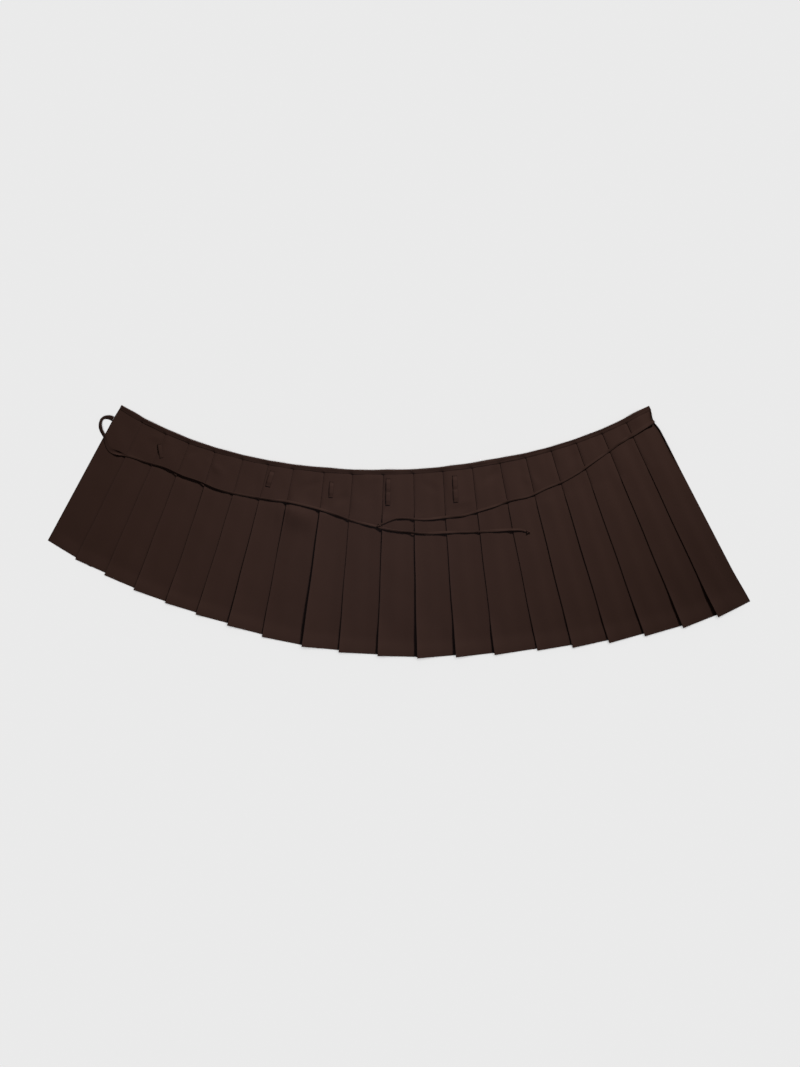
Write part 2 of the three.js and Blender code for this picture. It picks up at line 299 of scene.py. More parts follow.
# Slow waves that cross, and a finer one, which differ from panel to panel.
def rippleAt(x, y, k):
    wave = np.sin(x * 0.061 + y * 0.043 + k * 1.7) * np.sin(y * 0.037 - x * 0.021 + k * 2.9)
    return wave + 0.6 * np.sin(x * 0.13 + k) * np.sin(y * 0.085 + k * 0.7)


def creaseAt(x, y):
    total = np.zeros_like(x)
    for cx, cy, length, width, way, height in creases:
        c, s = math.cos(math.radians(way)), math.sin(math.radians(way))
        a, b = (x - cx) * c + (y - cy) * s, (y - cy) * c - (x - cx) * s
        total += height * np.exp(-2 * (a / length) ** 2 - 2 * (b / width) ** 2)
    return total


# The layers of a pleat at each share of the length.
def layerSizes(v):
    early, over = pleats["letGo"]
    loose = smooth((v - pleats["stitched"] + early) / over)  # 0 where sewn flat, 1 below
    depth = blend(*pleats["underlay"], v)
    slope = blend(*pleats["slope"], v)
    valley = blend(*pleats["valley"], smooth(v * 1.1))
    gap = blend(*pleats["gap"], loose)
    groove = pleats["groove"][0] * (1 - loose) * smooth(v / 0.02)
    return depth, slope, valley, gap, groove


def hemCurl(k, v):
    start, run = pleats["hemCurlRun"]
    return blend(*pleats["hemCurl"], k / panels) * smooth((v - start) / run)


# Share of the groove's depth this far from a fold.
def grooveAt(u):
    return (1 - np.clip(u / pleats["groove"][1], 0, 1)) ** 2


def foldLift(k, v):
    return np.interp(v, liftStops, (0, *folds[k][5:], folds[k][8]))


# Height of the middle of the cloth's upper ply, u mm right of fold k.
def faceHeight(k, u, v, width):
    depth, slope, valley, gap, groove = layerSizes(v)
    leftRun, rightRun = pleats["edgeRun"]
    base = np.maximum(valley, lowest) + hemCurl(k, v) - groove * grooveAt(width - u)
    if k == 0:
        return blend(lowest, base, smooth(u / leftRun))
    height = blend(base + 2 * gap, base, smooth((u - 0.9 * depth) / (slope + 0.1 * depth)))
    if k == panels - 1:
        run, reach = sideEdges["curlRun"], v * folds[-1][2]
        height = blend(height, lowest, smooth((u - width + rightRun) / rightRun))
        fade = smooth(reach / sideEdges["curlStart"])
        fade = fade * smooth((sideEdges["curlEnds"] - reach) / sideEdges["curlFade"])
        height = height + sideEdges["curl"] * smooth((u - width + run) / run) * fade
    lift = foldLift(k, v)
    lipWidth = pleats["lip"][0] + pleats["lip"][1] * lift
    lip = (1 - np.clip(u / lipWidth, 0, 1)) ** 2
    return height + lift * lip - groove * grooveAt(u)


# The same with the cloth's ripples and creases, which fade out at the folds.
def clothHeight(k, u, v, width, x, y):
    room = smooth(u / pleats["quiet"]) * smooth((width - u) / pleats["quiet"])
    ripple = blend(*pleats["ripple"], smooth((v - 0.15) / 0.3)) * (0.5 + 0.5 * rippleAt(x, y, k))
    return np.maximum(faceHeight(k, u, v, width) + room * (ripple + creaseAt(x, y)), lowest)


# The cloth's upper surface u mm right of fold k, at share v of the length: x, y, z.
def onFace(k, u, v):
    v = np.array([v], float)
    left, across, width = panelRow(k, v)
    x, y = left[0] + across[0] * u
    z = clothHeight(k, np.array([float(u)]), v, width, np.array([x]), np.array([y]))[0] + pleats["ply"] / 2
    return np.array([x, y, z])


# Height of whatever lies at a point: the cloth's upper surface, or the surface under the skirt.
def topAt(x, y):
    for k in range(panels):
        start, down = foldStarts[k]
        v = np.array([((x - start[0]) * down[0] + (y - start[1]) * down[1]) / folds[k][2]])
        for _ in range(3):  # each time comes closer to the share that the point lies at
            left, across, width = panelRow(k, np.clip(v, 0, 1))
            fromFold = np.array([x, y]) - left[0]
            u = float(fromFold @ across[0])
            v = v + (fromFold[0] * across[0][1] - fromFold[1] * across[0][0]) / folds[k][2]
        if 0 <= u <= width[0] and 0 <= v[0] <= 1:
            return onFace(k, u, v[0])[2]
    return 0.0


tapeSection = {"sides": 14, "blunt": 0.85}  # a blunt below 1 squares the section off


# A tape swept along a line. Each shape row: how far along, width, thickness, roll in degrees, and how
# far its edges curl.
def tapeAlong(line, along, shape):
    around, blunt = tapeSection["sides"], tapeSection["blunt"]
    width, thick, roll, cup = shapeAlong(along, shape)
    ahead = unit(np.gradient(line, axis=0))
    side = unit(np.cross([0, 0, 1.0], ahead))
    up = np.cross(ahead, side)
    roll = np.radians(roll)[:, None]
    side, up = side * np.cos(roll) + up * np.sin(roll), up * np.cos(roll) - side * np.sin(roll)
    turn = 2 * math.pi * np.arange(around) / around
    across = np.sign(np.cos(turn)) * np.abs(np.cos(turn)) ** blunt
    over = np.sign(np.sin(turn)) * np.abs(np.sin(turn)) ** blunt
    points, uv = [], []
    for i, centre in enumerate(line):
        s = across * width[i] / 2
        z = over * thick[i] / 2 + cup[i] * (across ** 2 - 0.5)
        points.append(centre + s[:, None] * side[i] + z[:, None] * up[i])
        uv.append(np.stack([s + over, np.full(around, along[i])], 1))
    return np.vstack(points), ringFaces(len(line), around), np.vstack(uv)


def shapeAlong(along, shape):
    shape = np.array(shape, float)
    return [np.interp(along, shape[:, 0], shape[:, c]) for c in range(1, 5)]


# Narrow turned tapes with a knot at the free end. They leave the side edges and lie across the pleats,
# rolled to a cord for most of their length.
ties = {
    "step": 2.5, "clear": 0.05,
    "bridge": 2,  # steps on either side that hold the tape up
    "bulk": 0.45,  # share of its height that the tape keeps above the cloth
    "settle": 14.0,  # it comes down on to the cloth over this run
    "left": {
        "length": 0.903, "width": 0.005,  # in metres
        "laidFrom": 62,  # how far along it comes to lie on the cloth
        "route": [
            (-544, 213.5, 2.0), (-548.5, 215.7, 2.3), (-554, 216.6, 2.6), (-560, 216.2, 2.6),
            (-565, 213.0, 2.6), (-567.6, 207, 2.6), (-568.2, 200.5, 2.6), (-567.0, 194, 2.6),
            (-563.8, 187, 2.6), (-559.3, 179.5, 2.6), (-556.5, 170, 2.7), (-553, 161, 3.0),
            (-547.5, 154.2, 3.4), (-540, 150.8, 4.0), (-531, 148.2, 4.6), (-520, 144.9, 5.0),
            (-508, 141.3, 5.2), (-475.4, 129.8, 5.2), (-443.4, 119.9, 5.2), (-412.6, 105.3, 5.2),
            (-380.3, 94.7, 5.2), (-349, 81, 5.2), (-316.2, 72.8, 5.2), (-283, 66.5, 5.2),
            (-249.2, 60.5, 5.2), (-215.8, 57.3, 5.2), (-181.8, 49.8, 5.2), (-149.5, 41.7, 5.2),
            (-117.3, 30, 5.2), (-85.2, 19.2, 5.2), (-51.5, 11.7, 5.2), (-19, 3, 5.2),
            (15, -1.5, 5.2), (49, -4.2, 5.2), (83, -1.8, 5.2), (117, -1.5, 5.2),
            (151, -0.8, 5.2), (185, 2, 5.2), (218, 3.5, 5.2), (230, 3, 5.2), (241, 0, 5.2),
        ],
        "shape": [
            (0, 10.0, 1.4, -14, 0), (6, 9.2, 1.4, -18, 0), (13, 7.4, 1.5, -22, 0), (20, 5.4, 1.8, -14, 0),
            (26, 5.2, 1.8, 4, 0), (32, 6.4, 1.6, 16, 0), (40, 7.4, 1.4, 20, 0), (50, 7.0, 1.4, 22, 0),
            (58, 7.2, 1.2, 20, 0.1), (68, 7.8, 0.8, 9, 0.2), (80, 8.8, 0.6, 6, 0.2), (90, 9.2, 0.6, 5, 0.8),
            (98, 8.4, 0.8, 2, 2.2), (104, 7.4, 0.9, 0, 2.9), (110, 5.8, 1.2, 4, 1.2),
            (118, 4.6, 1.4, 4, 0.2), (129, 4.4, 1.4, 0, 0), (163, 4.4, 1.5, 24, 0),
            (197, 5.4, 1.7, 38, 0), (231, 5.8, 1.7, 40, 0),
            (265, 5.0, 1.8, 42, 0), (299, 5.4, 1.8, 42, 0), (333, 4.2, 1.5, 12, 0), (367, 4.2, 1.5, 12, 0),
            (401, 4.9, 1.7, 32, 0), (435, 4.8, 2.2, -16, 0), (469, 4.8, 2.4, -8, 0), (503, 4.8, 2.2, -18, 0),
            (537, 5.2, 1.7, 34, 0), (571, 4.4, 1.5, 12, 0), (605, 4.8, 1.5, -28, 0), (639, 4.9, 2.2, 14, 0),
            (673, 5.4, 1.8, 36, 0), (707, 5.0, 1.6, 24, 0), (741, 5.4, 1.3, -32, 0), (775, 4.4, 1.9, 12, 0),
            (809, 4.2, 1.6, 18, 0), (843, 5.6, 1.2, -16, 0),
            (877, 4.8, 1.5, -32, 0), (892, 4.2, 1.7, -8, 0), (906, 3.4, 2.0, 0, 0),
        ],
    },
    "right": {
        "length": 0.569, "width": 0.005, "laidFrom": -20,
        "route": [
            (482.8, 209.6, 4.3), (476.5, 205.5, 4.8), (469, 200.8, 5.0), (458, 193.8, 5.3),
            (449.7, 188.4, 5.3), (421.3, 170, 5.2), (393.2, 150.3, 5.2), (365.3, 131.4, 5.2),
            (338.8, 111.5, 5.2), (308.4, 94.1, 5.2), (277.5, 82.2, 5.2), (246.3, 67.2, 5.2),
            (212.6, 59.1, 5.2), (180.8, 48.8, 5.3), (148.4, 38.9, 5.4), (116.1, 29.2, 5.4),
            (82.5, 26.9, 5.4), (49, 23, 5.4), (27, 23.6, 5.4), (6, 25.1, 5.4), (-7, 24.3, 5.4),
            (-20, 20, 5.4), (-36, 12.8, 5.4),
        ],
        "shape": [
            (0, 8.2, 1.2, 50, 0), (8, 8.0, 1.2, 38, 0), (16, 7.6, 1.2, 22, 0.2), (44, 7.4, 1.2, 12, 0.2),
            (56, 6.0, 1.3, 4, 0), (78, 5.2, 1.7, -26, 0), (112, 5.0, 1.2, 8, 0),
            (146, 5.6, 1.0, 30, 0), (180, 4.0, 1.8, 0, 0),
            (214, 4.0, 2.0, 0, 0), (248, 4.6, 1.3, 18, 0), (282, 4.0, 1.9, 4, 0), (316, 4.2, 1.8, -26, 0),
            (350, 4.8, 1.1, 28, 0), (384, 5.0, 1.1, 22, 0), (418, 4.4, 1.9, -28, 0), (452, 5.2, 1.1, 28, 0),
            (486, 4.2, 1.2, 8, 0), (520, 4.2, 1.9, -24, 0), (550, 3.8, 1.9, -10, 0), (568, 3.2, 2.0, 0, 0),
        ],
    },
    "knot": {
        "loop": 1.6, "lobes": 0.9, "narrow": 0.9, "thread": 2.6, "tall": 1.0, "lift": 0.4, "ahead": 2.9,
        "points": 46, "around": 10, "tail": 3.0, "tailStart": (2.4, 1.6), "tailEnd": (3.4, 1.2),
    },
}


# The line sinks on to the cloth: it bridges small steps and follows the rest.
def layOnCloth(line, along, shape, laidFrom):
    width, thick, roll, cup = shapeAlong(along, shape)
    roll = np.radians(roll)
    tall = ties["bulk"] * (np.abs(width * np.sin(roll)) + np.abs(thick * np.cos(roll)) + np.abs(cup))
    reach = ties["bridge"]
    ground = np.pad([topAt(x, y) for x, y, _ in line], 2 * reach, mode="edge")
    upheld = np.array([ground[i:i + 2 * reach + 1].max() for i in range(len(line) + 2 * reach)])
    window = np.hanning(2 * reach + 3)[1:-1]
    eased = np.convolve(upheld, window / window.sum(), "valid")
    share = smooth((along - laidFrom) / ties["settle"])
    line[:, 2] = blend(line[:, 2], eased + tall + ties["clear"], share)
    return line


# An overhand knot: a trefoil of the tape drawn tight, with a short end past it.
def knotMesh(place, way):
    knot = ties["knot"]
    side = np.cross([0, 0, 1.0], way)
    t = np.linspace(0, 2 * math.pi, knot["points"], endpoint=False)
    x = knot["loop"] * (np.sin(t) + knot["lobes"] * np.sin(2 * t))
    y = knot["loop"] * (np.cos(t) - knot["lobes"] * np.cos(2 * t)) * knot["narrow"]
    z = knot["tall"] * np.sin(3 * t)
    line = place + x[:, None] * way + y[:, None] * side + z[:, None] * np.array([0, 0, 1.0])
    ahead = unit(np.roll(line, -1, 0) - np.roll(line, 1, 0))
    around = knot["around"]
    out = unit(np.cross(ahead, [0.2, 0.1, 1.0]))  # no part of the knot runs this way
    up = np.cross(ahead, out)
    turn = 2 * math.pi * np.arange(around) / around
    ring = np.cos(turn)[None, :, None] * out[:, None] + np.sin(turn)[None, :, None] * up[:, None]
    points = (line[:, None] + ring * knot["thread"] / 2).reshape(-1, 3)
    faces = []
    for i in range(len(line)):
        for j in range(around):
            k, n = (j + 1) % around, (i + 1) % len(line)
            faces.append((i * around + j, i * around + k, n * around + k, n * around + j))
    uv = np.stack([np.tile(turn, len(line)), np.repeat(t * 4, around)], 1)
    tail = np.array([place + way * knot["loop"], place + way * (knot["loop"] + knot["tail"])])
    tailLine, tailAlong = splineThrough(tail, 0.8)
    tailShape = [(0, *knot["tailStart"], 0, 0), (knot["tail"], *knot["tailEnd"], 0, 0)]
    tailPoints, tailFaces, tailUv = tapeAlong(tailLine, tailAlong, tailShape)
    faces += [tuple(v + len(points) for v in f) for f in tailFaces]
    return np.vstack([points, tailPoints]), faces, np.vstack([uv, tailUv])


def makeTie(hand):
    tie = ties[hand]
    line, along = splineThrough(tie["route"], ties["step"])
    line = layOnCloth(line, along, tie["shape"], tie["laidFrom"])
    points, faces, uv = tapeAlong(line, along, tie["shape"])
    piece = makePiece(hand + "_tie", points, faces, ("tie_" + hand,), uv=uv)
    way = unit((line[-1] - line[-4]) * [1, 1, 0])
    points, faces, uv = knotMesh(line[-1] + way * ties["knot"]["ahead"] + [0, 0, ties["knot"]["lift"]], way)
    knot = makePiece(hand + "_tie_knot", points, faces, (f"tie_{hand}_knot",), uv=uv)
    tuple(line[0] * mm)
    (line * mm).tolist()
    print(hand, "tie made,", round(float(along[-1])), "mm")


for hand in ("left", "right"):
    makeTie(hand)


# Where the columns of a pleat stand: shares of a panel's width, shares of the underlay's depth, and angles
# round its folds. Where a panel goes under the next one its colour gets painted shade, by the share listed
# for its column.
ribbon = {
    "face": (0.03, 0.07, 0.13, 0.2, 0.29, 0.39, 0.5, 0.61, 0.72, 0.82, 0.9, 0.955, 0.98, 1.0),
    # painted shade: how much each column's colour darkens where the panel goes under the next fold, and how
    # much less where the pleats are sewn flat
    "creaseShade": {0.955: 0.25, 0.98: 0.6, 1.0: 1.0}, "creaseShadeWhereSewn": 0.75,
    "under": (0.25, 0.6, 0.93), "backFold": (-45, 0, 45), "middle": (0.9, 0.55, 0.22),
    "frontFold": (-90, -50, -15, 15, 50, 90), "backTurn": 0.65, "highlightWidth": 2.0,
    "downBy": 0.6,  # by this share of the underlay its ply lies on the floor
    "lipBy": 0.8, "lipTaken": 0.97,  # the middle ply rises with the lip from this share on, almost as far
}


# The cloth as one ribbon of columns: each panel's face, then the three plies of the next pleat.
def clothRibbon():
    v = rows
    depthAll, _, valleyAll, gapAll, groove = layerSizes(v)
    pressedFlat = groove / pleats["groove"][0]
    hiddenGroove = groove * pleats["hiddenGroove"]
    columns, pressed, tucked = [], [], []

    def add(row, u, z, highlit=0.0, shadeShare=0.0, shift=0.0, down=None):
        left, across, _ = row
        xy = left + across * np.broadcast_to(u, v.shape)[:, None]
        if down is not None:
            xy = xy + down * (shift * v)[:, None]
        columns.append(np.column_stack([xy, np.broadcast_to(z, v.shape)]))
        pressed.append(np.broadcast_to(highlit, v.shape))
        tucked.append(np.broadcast_to(shadeShare, v.shape))

    for k in range(panels):
        row = panelRow(k, v)
        width = row[2]
        edge = (gapAll + pleats["ply"]) / 2
        if k == 0:
            # painted shade along the left side edge
            add(row, 0, lowest, 0.0, pleats["turned"])
        for share in ribbon["face"]:
            u = blend(edge, width, share) if k else width * share
            x, y = (row[0] + row[1] * u[:, None]).T
            z = clothHeight(k, u, v, width, x, y)
            # painted shade where the panel goes under the next fold
            shadeShare = ribbon["creaseShade"].get(share, 0.0) if k < panels - 1 else 0.0
            # painted shade along the right side edge
            if k == panels - 1 and share == 1.0:
                shadeShare = pleats["turned"]
            # painted highlight: the colour is lightened along the top of each front fold, standing in for
            # light caught by the fold edge
            highlit = np.exp(-u / ribbon["highlightWidth"]) if k else 0.0
            add(row, u, z, highlit, shadeShare * (1 - ribbon["creaseShadeWhereSewn"] * pressedFlat))
        if k == panels - 1:
            break
        # under the next panel to the back fold
        down, drop = foldStarts[k + 1][1], folds[k + 1][3]
        base = np.maximum(valleyAll, lowest) + hemCurl(k, v)
        for share in ribbon["under"]:
            z = blend(base, lowest, smooth(share / ribbon["downBy"])) - hiddenGroove * (share < 0.5)
            add(row, width + depthAll * share, z, 0.0, 1.0, (drop - pleats["tuckedUp"]) * share, down)
        nextRow = panelRow(k + 1, v)
        lift = foldLift(k + 1, v)
        turn = gapAll * ribbon["backTurn"]
        for angle in ribbon["backFold"]:
            a = math.radians(angle)
            add(nextRow, depthAll + turn * math.cos(a) - turn, lowest + turn * (1 + math.sin(a)), 0.0, 1.0)
        # back as the middle ply to the front fold
        for share in ribbon["middle"]:
            lip = (1 - np.clip(share / ribbon["lipBy"], 0, 1)) ** 2
            z = blend(base + gapAll, lowest + 1.3 * gapAll, smooth(share)) + lift * lip * ribbon["lipTaken"]
            z = z - hiddenGroove * (share < 0.5)
            add(nextRow, depthAll * share, z, 0.0, 1.0)
        # over the front fold
        radius = gapAll / 2
        middle = base + 1.5 * gapAll + lift - groove
        for angle in ribbon["frontFold"]:
            a = math.radians(angle)
            # painted highlight on the fold's upper half, painted shade on its lower half
            highlit, shadeShare = (1.0, 0.0) if angle > 0 else (0.2, 0.6)
            add(nextRow, edge - radius * math.cos(a), middle + radius * math.sin(a), highlit, shadeShare)
    return np.stack(columns, 1), np.stack(pressed, 1), np.stack(tucked, 1)


def makeCloth():
    middle, pressed, tucked = clothRibbon()
    count, size = middle.shape[:2]
    across = np.gradient(middle, axis=1)
    down = np.gradient(middle, axis=0)
    out = unit(np.cross(unit(down), unit(across)))
    face = middle + out * pleats["ply"] / 2
    back = middle - out * pleats["ply"] / 2
    back[..., 2] = np.maximum(back[..., 2], pleats["clear"])
    steps = np.linalg.norm(np.diff(middle, axis=1), axis=2)
    ribbonAlong = np.concatenate([np.zeros((count, 1)), np.cumsum(steps, axis=1)], 1)
    lengthAlong = np.repeat(rows[:, None] * pleats["meanLength"], size, 1)
    uv = np.stack([ribbonAlong, lengthAlong], 2)
    total = count * size
    faces = gridFaces(count, size) + gridFaces(count, size, total, flip=True)
    for j in range(size - 1):  # upper edge and hem
        faces.append((j, j + 1, total + j + 1, total + j))
        a = (count - 1) * size + j
        faces.append((a, total + a, total + a + 1, a + 1))
    for i in range(count - 1):  # side edges
        a = i * size
        faces.append((a, total + a, total + a + size, a + size))
        b = a + size - 1
        faces.append((b, b + size, total + b + size, total + b))
    points = np.vstack([face.reshape(-1, 3), back.reshape(-1, 3)])
    uvs = np.vstack([uv.reshape(-1, 2), uv.reshape(-1, 2)])
    # the marks that the finish reads: painted highlight on the fold tops, painted shade in creases and along
    # the side edges
    marks = {
        "pressed": np.concatenate([pressed.ravel(), np.zeros(total)]),
        "tucked": np.concatenate([tucked.ravel(), tucked.ravel()]),
    }
    return makePiece("pleated_cloth", points, faces, ("pleated_panel",), uv=uvs, marks=marks)


cloth = makeCloth()
print("pleated cloth made,", len(cloth.data.polygons), "faces")

# The binding along the waist edge: a folded strip, thick over the seam at the edge and thin where its
# lower edge is stitched down. Swells are x, how far out and spread.
binding = {
    "width": 8.4, "run": 9.0, "step": 4.3, "flutter": 0.3, "wave": 0.25,
    "thin": 0.42, "rest": 0.12, "clear": 0.05,
    "change": (20.0, 280.0),  # where the section starts to change, and over what run
    "crest": (1.95, 1.6),  # height at the left end and at the right one, as the next two
    "crestAt": (1.7, 0.9),
    "slopeEnd": (8.0, 5.2),
    "slope": ((0.75, 0.2), (0.45, 0.48), (0.15, 0.9)),  # shares of the way up to the crest and of its height
    "swells": [
        (-501, 0.9, 14), (-435, 0.7, 30), (-140, 1.0, 18), (-26, 1.0, 18), (100, 0.8, 20),
        (176, 2.0, 55), (446, 1.8, 24),
    ],
    "spots": (0.6, 3, 7, 12, 17, 22, 26, 30, 35, 40),  # right of each fold, where the strip gets a section
    "firstSpots": (0, 4, 10, 17, 25, 33, 41), "lastSpots": (7, 4, 2, 0), "climb": (0.2, 0.4, 0.6, 0.8),
}


# Where the strip gets a section: the place on the cloth, the way down, and how high its lower edge lies.
def bindingStations():
    stations = []
    for k in range(panels):
        width = panelRow(k, np.array([0.0]))[2][0]
        spots = binding["spots"] if k else binding["firstSpots"]
        spots = [s for s in spots if s < width - binding["run"] - 2]
        last = binding["lastSpots"] if k == panels - 1 else (binding["run"],)
        for u in spots + [width - s for s in last]:
            place = onFace(k, u, 0.0)
            down = unit(blend(foldStarts[k][1], foldStarts[k + 1][1], u / width))
            stations.append((place, down, place[2]))
        if k < panels - 1:  # the short run up to the next fold
            low, high = onFace(k, width - binding["run"], 0.0), onFace(k + 1, binding["spots"][0], 0.0)
            down = foldStarts[k + 1][1]
            for share in binding["climb"]:
                place = blend(low, high, np.array([share, share, smooth(share)]))
                hem = onFace(k, width - binding["run"] * (1 - share), 0.0)[2]
                stations.append((place, down, hem))
    return stations


# The strip's section at one station: how far in from the waist edge, and height.
def bindingSection(number, place, hem):
    along = number * binding["step"]
    wave = math.sin(along * 0.19) * math.sin(along * 0.071 + 1)
    swell = sum(out * hump(place[0], x, spread) for x, out, spread in binding["swells"])
    share = float(smooth((place[0] - binding["change"][0]) / binding["change"][1]))
    crest, crestAt, slopeEnd = (blend(*binding[key], share) for key in ("crest", "crestAt", "slopeEnd"))
    crest = crest * (1 + binding["wave"] * math.sin(along * 0.11 + 2) * math.sin(along * 0.043))
    slopeEnd = slopeEnd + 0.6 * math.sin(along * 0.083)
    width = max(binding["width"] + binding["flutter"] * wave, slopeEnd + 0.4)
    z, hem, thin, run = place[2] + binding["rest"], hem + binding["rest"], binding["thin"], slopeEnd - crestAt
    slopeFoot = blend(hem, z, float(smooth((width - slopeEnd) / 4))) + thin + 0.02
    slope = [(crestAt + at * run, z + blend(thin, crest, rise)) for at, rise in binding["slope"]]
    return [
        (width, hem), (width + 0.15, hem + thin * 0.5), (width - 0.1, hem + thin), (slopeEnd, slopeFoot),
        *slope, (crestAt * 0.6, z + crest), (0.4 - swell, z + crest * 0.8),
        (0.05 - swell, z + crest * 0.4), (-swell, 0.6), (0.3 - swell, 0.06), (0.8 - swell, 0.06),
        (1.0 - swell, 0.5), (1.1 - swell, z - 0.3), (1.5, z),
    ]


def makeBinding():
    points, uv = [], []
    stations = bindingStations()
    for number, (place, down, hem) in enumerate(stations):
        section = bindingSection(number, place, hem)
        for reach, height in section:
            spot = place[:2] + down * (reach - pleats["inset"])
            points.append([*spot, max(height, binding["clear"])])
            uv.append([number * binding["step"], reach])
    faces = [f[::-1] for f in ringFaces(len(stations), len(section))]
    return makePiece("waist_tape", points, faces, ("waist_binding",), uv=uv)


makeBinding()
print("binding made")

# Flat straps sewn down at both ends, the two long ones at the middle too.
loops = {
    # edge and edgeRun set the painted shade at the strap's sides and ends: how dark, and over what run from
    # each end
    "thick": 1.0, "ends": 9.0, "tack": 0.8, "dip": 0.65, "dipRun": 3.5, "edge": 3.2, "edgeRun": 1.5,
    "rest": 0.1, "steps": 41,
    "strapShadeMarks": (1, 0.5, 0, 0, 0, 0, 0.5, 1, 0.5, 0, 0, 0, 0, 0.5),  # painted shade round the section; 1 at its two sides
}
# Pleat it sits on, right of the fold, below the waist edge, length, width, tilt, how far it stands up,
# sewn at the middle.
loopRows = [
    (2, 3.0, 42, 27, 7.5, 33, 0.5, False),
    (6, 9.6, 33, 31, 9.5, -3, 1.2, False),
    (8, 17.5, 39, 30, 8.0, 4, 1.2, False),
    (10, 10.0, 40.6, 51, 8.8, 1, 1.2, True),
    (12, 21.2, 43, 51, 9.2, -1, 1.2, True),
]


def makeLoop(number, fold, right, below, length, width, tilt, rise, middleTack):
    start, down = foldStarts[fold]
    side = np.array([-down[1], down[0]])
    centre = start + down * below + side * right
    angle = math.atan2(down[1], down[0]) + math.radians(tilt)
    way = np.array([math.cos(angle), math.sin(angle)])
    top = topAt(*centre) + loops["thick"] / 2 + loops["rest"]
    half = length / 2
    s = np.linspace(-half, half, loops["steps"])
    arch = smooth((half - loops["tack"] - np.abs(s)) / loops["ends"])
    if middleTack:
        arch = arch * (1 - loops["dip"] * hump(s, 0, loops["dipRun"]))
    line = np.column_stack([centre + way * s[:, None], top + rise * arch])
    shape = [(0, width, loops["thick"], 0, 0), (length, width, loops["thick"], 0, 0)]
    points, faces, uv = tapeAlong(line, s + half, shape)
    # painted shade along the strap's two sides and at its sewn-down ends
    sides = np.tile(np.array(loops["strapShadeMarks"]), len(line))
    edges = np.repeat(np.clip(1 - (half - np.abs(s)) / loops["edgeRun"], 0, 1), tapeSection["sides"])
    marks = {"tucked": loops["edge"] * np.maximum(sides, edges)}
    makePiece(f"loop_{number}", points, faces, (f"belt_loop_{number}",), uv=uv, marks=marks)
    tacks = [loops["tack"] - half, half - loops["tack"]] + ([0] if middleTack else [])
    heights = np.interp(tacks, s, line[:, 2]) + loops["thick"] / 2
    return [(centre + way * t, way, width, z) for t, z in zip(tacks, heights)]


tackSpots = []
for number, row in enumerate(loopRows, 1):
    tackSpots += makeLoop(number, *row)
print("belt loops made")

# Rows of stitches along the binding and beside each fold, and tacks across the loops.
stitching = {
    "long": 2.1, "pitch": 3.0, "thick": 0.36, "start": 0.8, "fromEdge": 7.2, "sides": 6,
    "profile": ((-0.5, 0.25), (-0.3, 0.9), (0, 1.0), (0.3, 0.9), (0.5, 0.25)),  # shares of both sizes
    "fromFold": 2.4, "foldStart": 0.03, "foldThick": 0.8, "foldProud": 0.02,
    "tackLong": 1.9, "tackApart": 0.55, "tackThick": 0.5, "tackInset": 0.6, "tackProud": 0.05,
}


def stitchMesh(spots):
    points, faces, uv = [], [], []
    around, profile = stitching["sides"], stitching["profile"]
    for middle, way, length, thick in spots:
        way = unit(np.asarray(way, float))
        side = unit(np.cross([0, 0, 1.0], way))
        up = np.cross(way, side)
        first = len(points)
        for share, fat in profile:
            for j in range(around):
                a = 2 * math.pi * j / around
                out = side * math.cos(a) + up * math.sin(a)
                points.append(middle + way * share * length + out * thick / 2 * fat)
                uv.append([j, share * length])
        faces += [tuple(v + first for v in f[::-1]) for f in ringFaces(len(profile), around)]
    return points, faces, uv


def stitchesBetween(line, thick=1.0):
    line = np.array(line)
    along = np.concatenate([[0], np.cumsum(np.linalg.norm(np.diff(line, axis=0), axis=1))])
    length = stitching["long"]
    spots = []
    for start in np.arange(stitching["start"], along[-1] - length, stitching["pitch"]):
        ends = (start, start + length)
        near, far = (np.array([np.interp(end, along, line[:, c]) for c in range(3)]) for end in ends)
        spots.append(((near + far) / 2, far - near, length, stitching["thick"] * thick))
    return spots


def waistStitchLine():
    line, reach = [], stitching["fromEdge"]
    for number, (place, down, hem) in enumerate(bindingStations()):
        top = bindingSection(number, place, hem)[2:8][::-1]
        z = np.interp(reach, [r for r, _ in top], [h for _, h in top])
        line.append([*(place[:2] + down * (reach - pleats["inset"])), z])
    return line


def tackSpotsOn(centre, way, width, top):
    side = np.array([-way[1], way[0]])
    for j in np.arange(stitching["tackInset"] - width / 2, width / 2 - 0.5, stitching["tackApart"]):
        place = np.array([*(centre + side * j), top + stitching["tackProud"]])
        yield place, [*way, 0], stitching["tackLong"], stitching["tackThick"]


foldStitches = []
for k in range(1, panels):
    shares = np.linspace(stitching["foldStart"], pleats["stitched"], 12)
    line = [onFace(k, stitching["fromFold"], v) + [0, 0, stitching["foldProud"]] for v in shares]
    foldStitches += stitchesBetween(line, stitching["foldThick"])
stitchRuns = {
    "waist_stitches": ("binding", stitchesBetween(waistStitchLine())),
    "pleat_stitches": ("suiting", foldStitches),
    "loop_tacks": ("suiting", [spot for tack in tackSpots for spot in tackSpotsOn(*tack)]),
}
for name, (slot, spots) in stitchRuns.items():
    points, faces, uv = stitchMesh(spots)
    makePiece(name, points, faces, uv=uv)
print("stitches made")


class Link:  # wraps a node's socket; arithmetic on it adds Math nodes
    def __init__(self, finish, socket):
        self.finish, self.socket = finish, socket

    def maths(self, operation, first, second=0.0):
        return self.finish.node("ShaderNodeMath", {"operation": operation}, {0: first, 1: second})

    def __add__(self, other):
        return self.maths("ADD", self, other)

    def __radd__(self, other):
        return self.maths("ADD", other, self)

    def __sub__(self, other):
        return self.maths("SUBTRACT", self, other)

    def __rsub__(self, other):
        return self.maths("SUBTRACT", other, self)

    def __mul__(self, other):
        return self.maths("MULTIPLY", self, other)

    def __rmul__(self, other):
        return self.maths("MULTIPLY", other, self)


